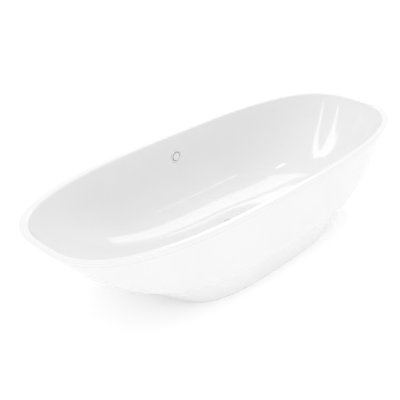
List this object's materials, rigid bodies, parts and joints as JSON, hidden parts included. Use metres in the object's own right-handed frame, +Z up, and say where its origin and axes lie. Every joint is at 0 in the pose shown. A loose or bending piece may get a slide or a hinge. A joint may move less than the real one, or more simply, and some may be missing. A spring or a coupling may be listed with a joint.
{
  "type": "freestanding bathtub",
  "caption": "Low freestanding oval bathtub with slim rim, boat-shaped double skin, recessed tapered plinth, click-clack waste, overflow and levelling feet.",
  "frame": {"origin": "on the floor at the middle of the footprint, straight under the drain", "axes": "+X along the length, +Y to the long side with the overflow, +Z up"},
  "size_m": [1.8, 0.716, 0.4],
  "materials": {
    "white_acrylic": "gloss",
    "white_acrylic_skirt": "gloss",
    "sealant": "satin",
    "board": "matte",
    "galvanised_steel": "satin",
    "zinc_fastener": "satin",
    "spring_steel": "satin",
    "chrome": "polished",
    "black_rubber": "matte",
    "white_plastic": "satin",
    "grey_plastic": "satin"
  },
  "bodies": {
    "tub": {"basin_shell": "white_acrylic", "outer_skirt": "white_acrylic_skirt", "rim_bond_bead": "sealant", "base_plinth": "white_acrylic_skirt", "base_board": "board", "rail_front": "galvanised_steel", "rail_back": "galvanised_steel", "cross_bar_left": "galvanised_steel", "cross_bar_right": "galvanised_steel", "board_screw_left_front": "zinc_fastener", "frame_bolt_left_front": "zinc_fastener", "frame_nut_left_front": "zinc_fastener", "board_screw_left_back": "zinc_fastener", "frame_bolt_left_back": "zinc_fastener", "frame_nut_left_back": "zinc_fastener", "board_screw_right_front": "zinc_fastener", "frame_bolt_right_front": "zinc_fastener", "frame_nut_right_front": "zinc_fastener", "board_screw_right_back": "zinc_fastener", "frame_bolt_right_back": "zinc_fastener", "frame_nut_right_back": "zinc_fastener", "weld_nut_left_front": "zinc_fastener", "lock_nut_left_front": "zinc_fastener", "weld_nut_left_back": "zinc_fastener", "lock_nut_left_back": "zinc_fastener", "weld_nut_right_front": "zinc_fastener", "lock_nut_right_front": "zinc_fastener", "weld_nut_right_back": "zinc_fastener", "lock_nut_right_back": "zinc_fastener", "waste_flange": "chrome", "waste_seal_upper": "black_rubber", "waste_seal_lower": "black_rubber", "waste_body": "white_plastic", "trap_baffle": "white_plastic", "trap_cup": "white_plastic", "outlet_pipe": "white_plastic", "outlet_nut": "grey_plastic", "plug_cartridge": "white_plastic", "plug_spring": "spring_steel", "overflow_ring": "chrome", "overflow_cap": "chrome", "overflow_seal": "black_rubber", "overflow_body": "white_plastic", "overflow_hose": "grey_plastic", "hose_clamp_top": "zinc_fastener", "hose_clamp_bottom": "zinc_fastener"},
    "plug": {"plug_cap": "chrome", "plug_stem": "white_plastic", "plug_seal": "black_rubber"},
    "pad_left_front": {"foot_pad_left_front": "black_rubber"},
    "stud_left_front": {"foot_stud_left_front": "zinc_fastener"},
    "pad_left_back": {"foot_pad_left_back": "black_rubber"},
    "stud_left_back": {"foot_stud_left_back": "zinc_fastener"},
    "pad_right_front": {"foot_pad_right_front": "black_rubber"},
    "stud_right_front": {"foot_stud_right_front": "zinc_fastener"},
    "pad_right_back": {"foot_pad_right_back": "black_rubber"},
    "stud_right_back": {"foot_stud_right_back": "zinc_fastener"}
  },
  "joints": [
    {"name": "plug_press", "type": "slide", "parent": "tub", "child": "plug", "axis": [0, 0, 1], "range_m": [-0.008, 0], "deforming": ["plug_spring"]},
    {"name": "foot_travel_left_front", "type": "slide", "parent": "tub", "child": "pad_left_front", "axis": [0, 0, 1], "range_m": [-0.01, 0.005]},
    {"name": "foot_turn_left_front", "type": "hinge", "parent": "pad_left_front", "child": "stud_left_front", "pos_m": [-0.29, -0.172, 0.03], "axis": [0, 0, 1], "range_deg": [-2058, 1029]},
    {"name": "foot_travel_left_back", "type": "slide", "parent": "tub", "child": "pad_left_back", "axis": [0, 0, 1], "range_m": [-0.01, 0.005]},
    {"name": "foot_turn_left_back", "type": "hinge", "parent": "pad_left_back", "child": "stud_left_back", "pos_m": [-0.29, 0.172, 0.03], "axis": [0, 0, 1], "range_deg": [-2058, 1029]},
    {"name": "foot_travel_right_front", "type": "slide", "parent": "tub", "child": "pad_right_front", "axis": [0, 0, 1], "range_m": [-0.01, 0.005]},
    {"name": "foot_turn_right_front", "type": "hinge", "parent": "pad_right_front", "child": "stud_right_front", "pos_m": [0.29, -0.172, 0.03], "axis": [0, 0, 1], "range_deg": [-2058, 1029]},
    {"name": "foot_travel_right_back", "type": "slide", "parent": "tub", "child": "pad_right_back", "axis": [0, 0, 1], "range_m": [-0.01, 0.005]},
    {"name": "foot_turn_right_back", "type": "hinge", "parent": "pad_right_back", "child": "stud_right_back", "pos_m": [0.29, 0.172, 0.03], "axis": [0, 0, 1], "range_deg": [-2058, 1029]}
  ],
  "couplings": [
    {"joint": "foot_turn_left_front", "follows": "foot_travel_left_front", "rad_per_m": 3590.4},
    {"joint": "foot_turn_left_back", "follows": "foot_travel_left_back", "rad_per_m": 3590.4},
    {"joint": "foot_turn_right_front", "follows": "foot_travel_right_front", "rad_per_m": 3590.4},
    {"joint": "foot_turn_right_back", "follows": "foot_travel_right_back", "rad_per_m": 3590.4}
  ]
}
